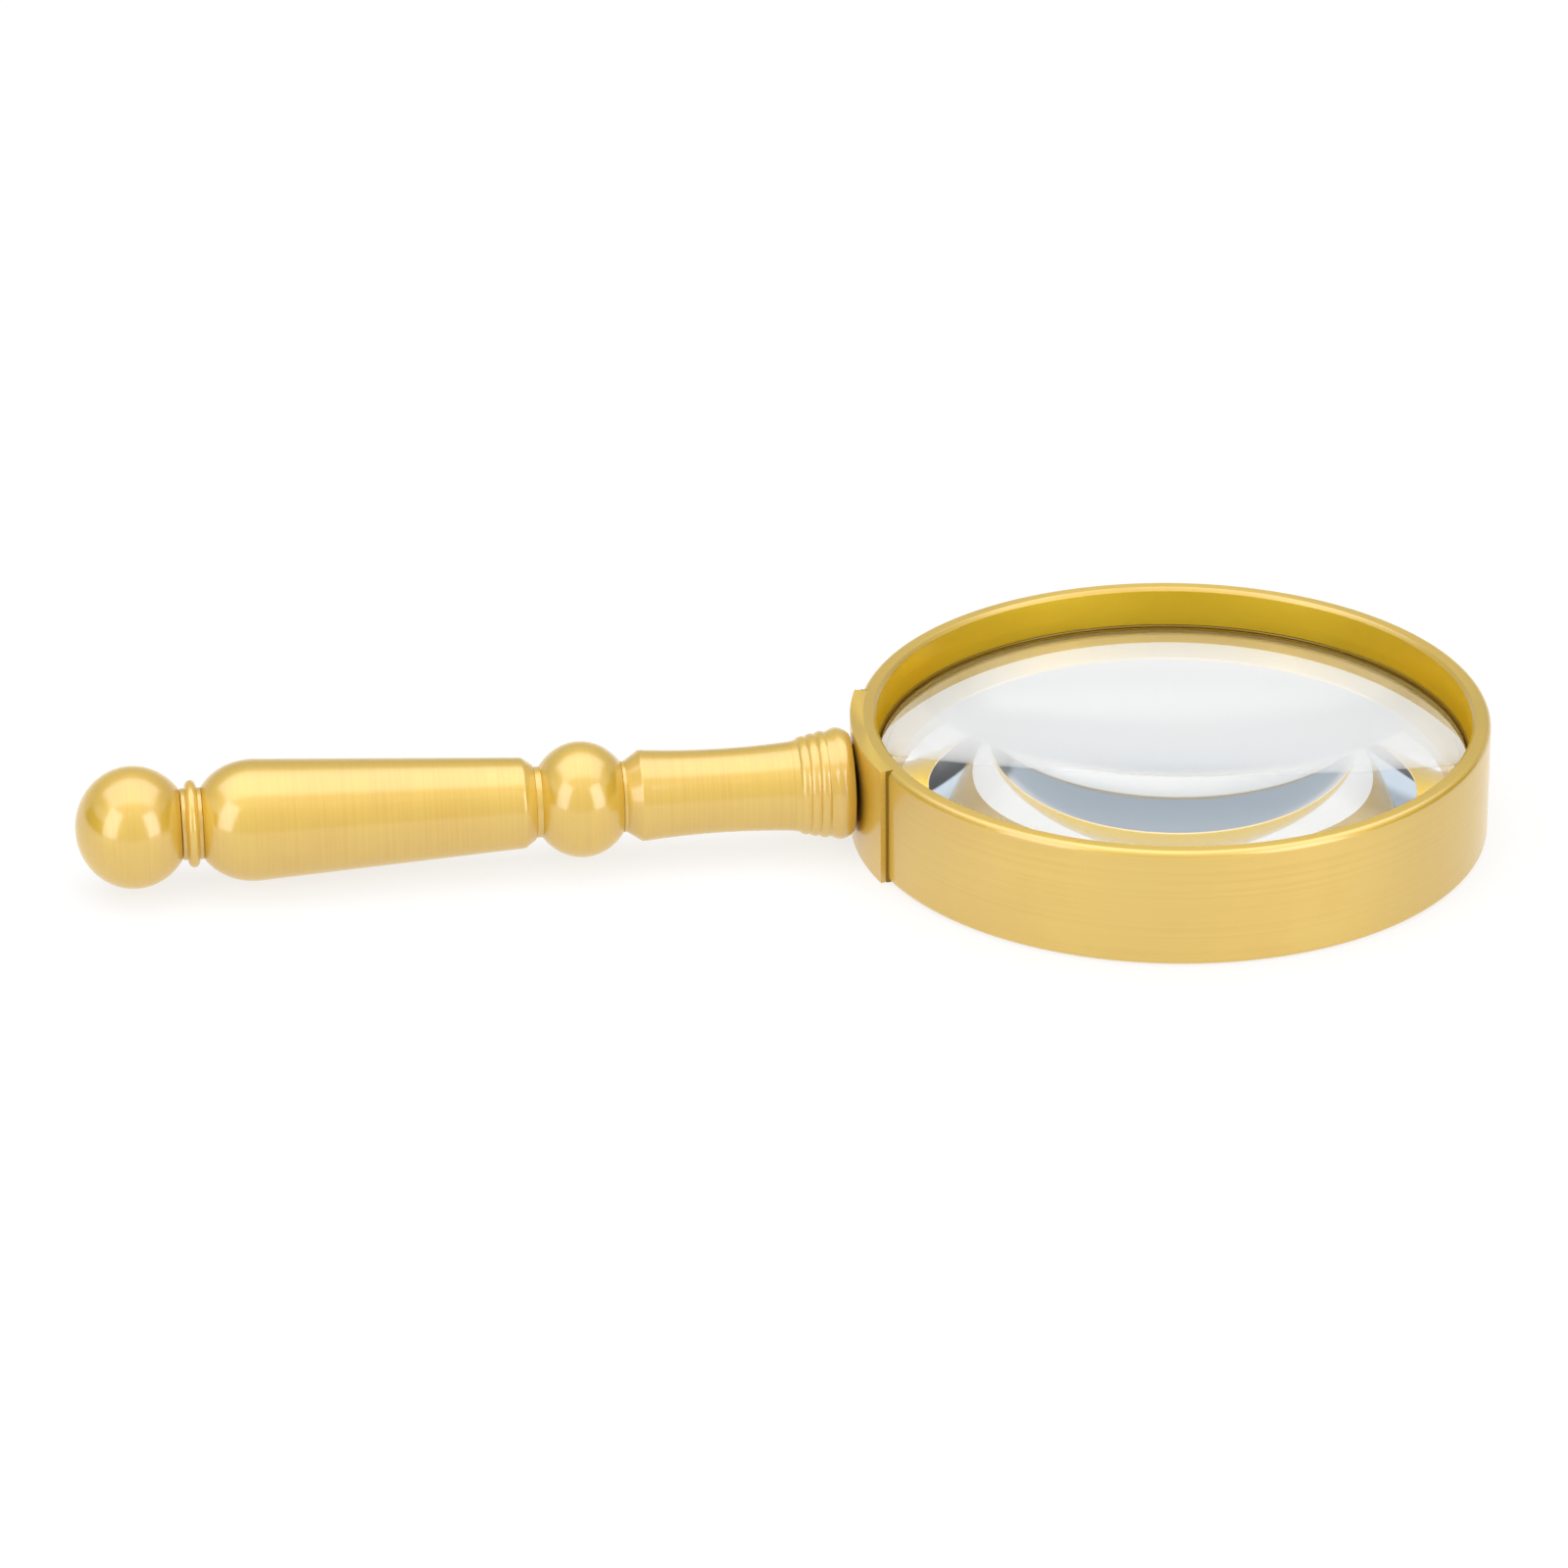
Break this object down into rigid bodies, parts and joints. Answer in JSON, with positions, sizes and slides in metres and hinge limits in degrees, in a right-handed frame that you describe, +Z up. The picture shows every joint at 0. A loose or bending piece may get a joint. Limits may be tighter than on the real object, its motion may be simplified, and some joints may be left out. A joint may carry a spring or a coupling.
{
  "type": "handheld magnifying glass",
  "caption": "Handheld magnifying glass: a biconvex lens in a tall round brass ring, on a turned brass handle with a waisted grip, a knuckle ball, a tapered grip and a ball pommel.",
  "frame": {"origin": "centre of the footprint at the level of the ring's lower rim, with the glass lying flat", "axes": "+X from the pommel towards the lens ring, along the handle's axis; +Z up along the lens's optical axis; +Y completes the right-handed frame"},
  "size_m": [0.1878, 0.084, 0.0168],
  "materials": {
    "satin_brass": "satin, lacquered, fine grain",
    "brushed_brass": "brushed round the handle, lacquered",
    "lens_glass": "polished, clear",
    "amber_rubber": "matt amber silicone",
    "bright_steel": "machined",
    "black_fibre": "matt pressed fibre"
  },
  "bodies": {
    "head": {"lens_frame": "satin_brass", "lens": "lens_glass", "lens_gasket": "amber_rubber", "lens_snap_ring": "satin_brass", "saddle_plate": "satin_brass", "handle_screw": "bright_steel"},
    "washer": {"joint_washer": "black_fibre"},
    "handle": {"ferrule": "satin_brass", "front_grip": "brushed_brass", "front_neck_collar": "satin_brass", "knuckle_ball": "satin_brass", "rear_neck_collar": "satin_brass", "rear_grip": "brushed_brass", "tie_rod": "bright_steel"},
    "bead": {"bead_ring": "satin_brass"},
    "pommel": {"pommel_ball": "satin_brass"}
  },
  "joints": [
    {"name": "handle_travel", "type": "slide", "parent": "head", "child": "washer", "axis": [-1, 0, 0], "range_m": [0, 0.00775]},
    {"name": "handle_turn", "type": "hinge", "parent": "washer", "child": "handle", "pos_m": [0.0099, 0, 0.00874], "axis": [-1, 0, 0], "range_deg": [0, 3960]},
    {"name": "bead_travel", "type": "slide", "parent": "handle", "child": "bead", "axis": [-1, 0, 0], "range_m": [0, 0.00775]},
    {"name": "pommel_turn", "type": "hinge", "parent": "bead", "child": "pommel", "pos_m": [-0.0802, 0, 0.00874], "axis": [-1, 0, 0], "range_deg": [0, 3960]}
  ],
  "couplings": [
    {"joint": "handle_travel", "follows": "handle_turn", "m_per_rad": 0.00011141},
    {"joint": "bead_travel", "follows": "pommel_turn", "m_per_rad": 0.00011141}
  ]
}
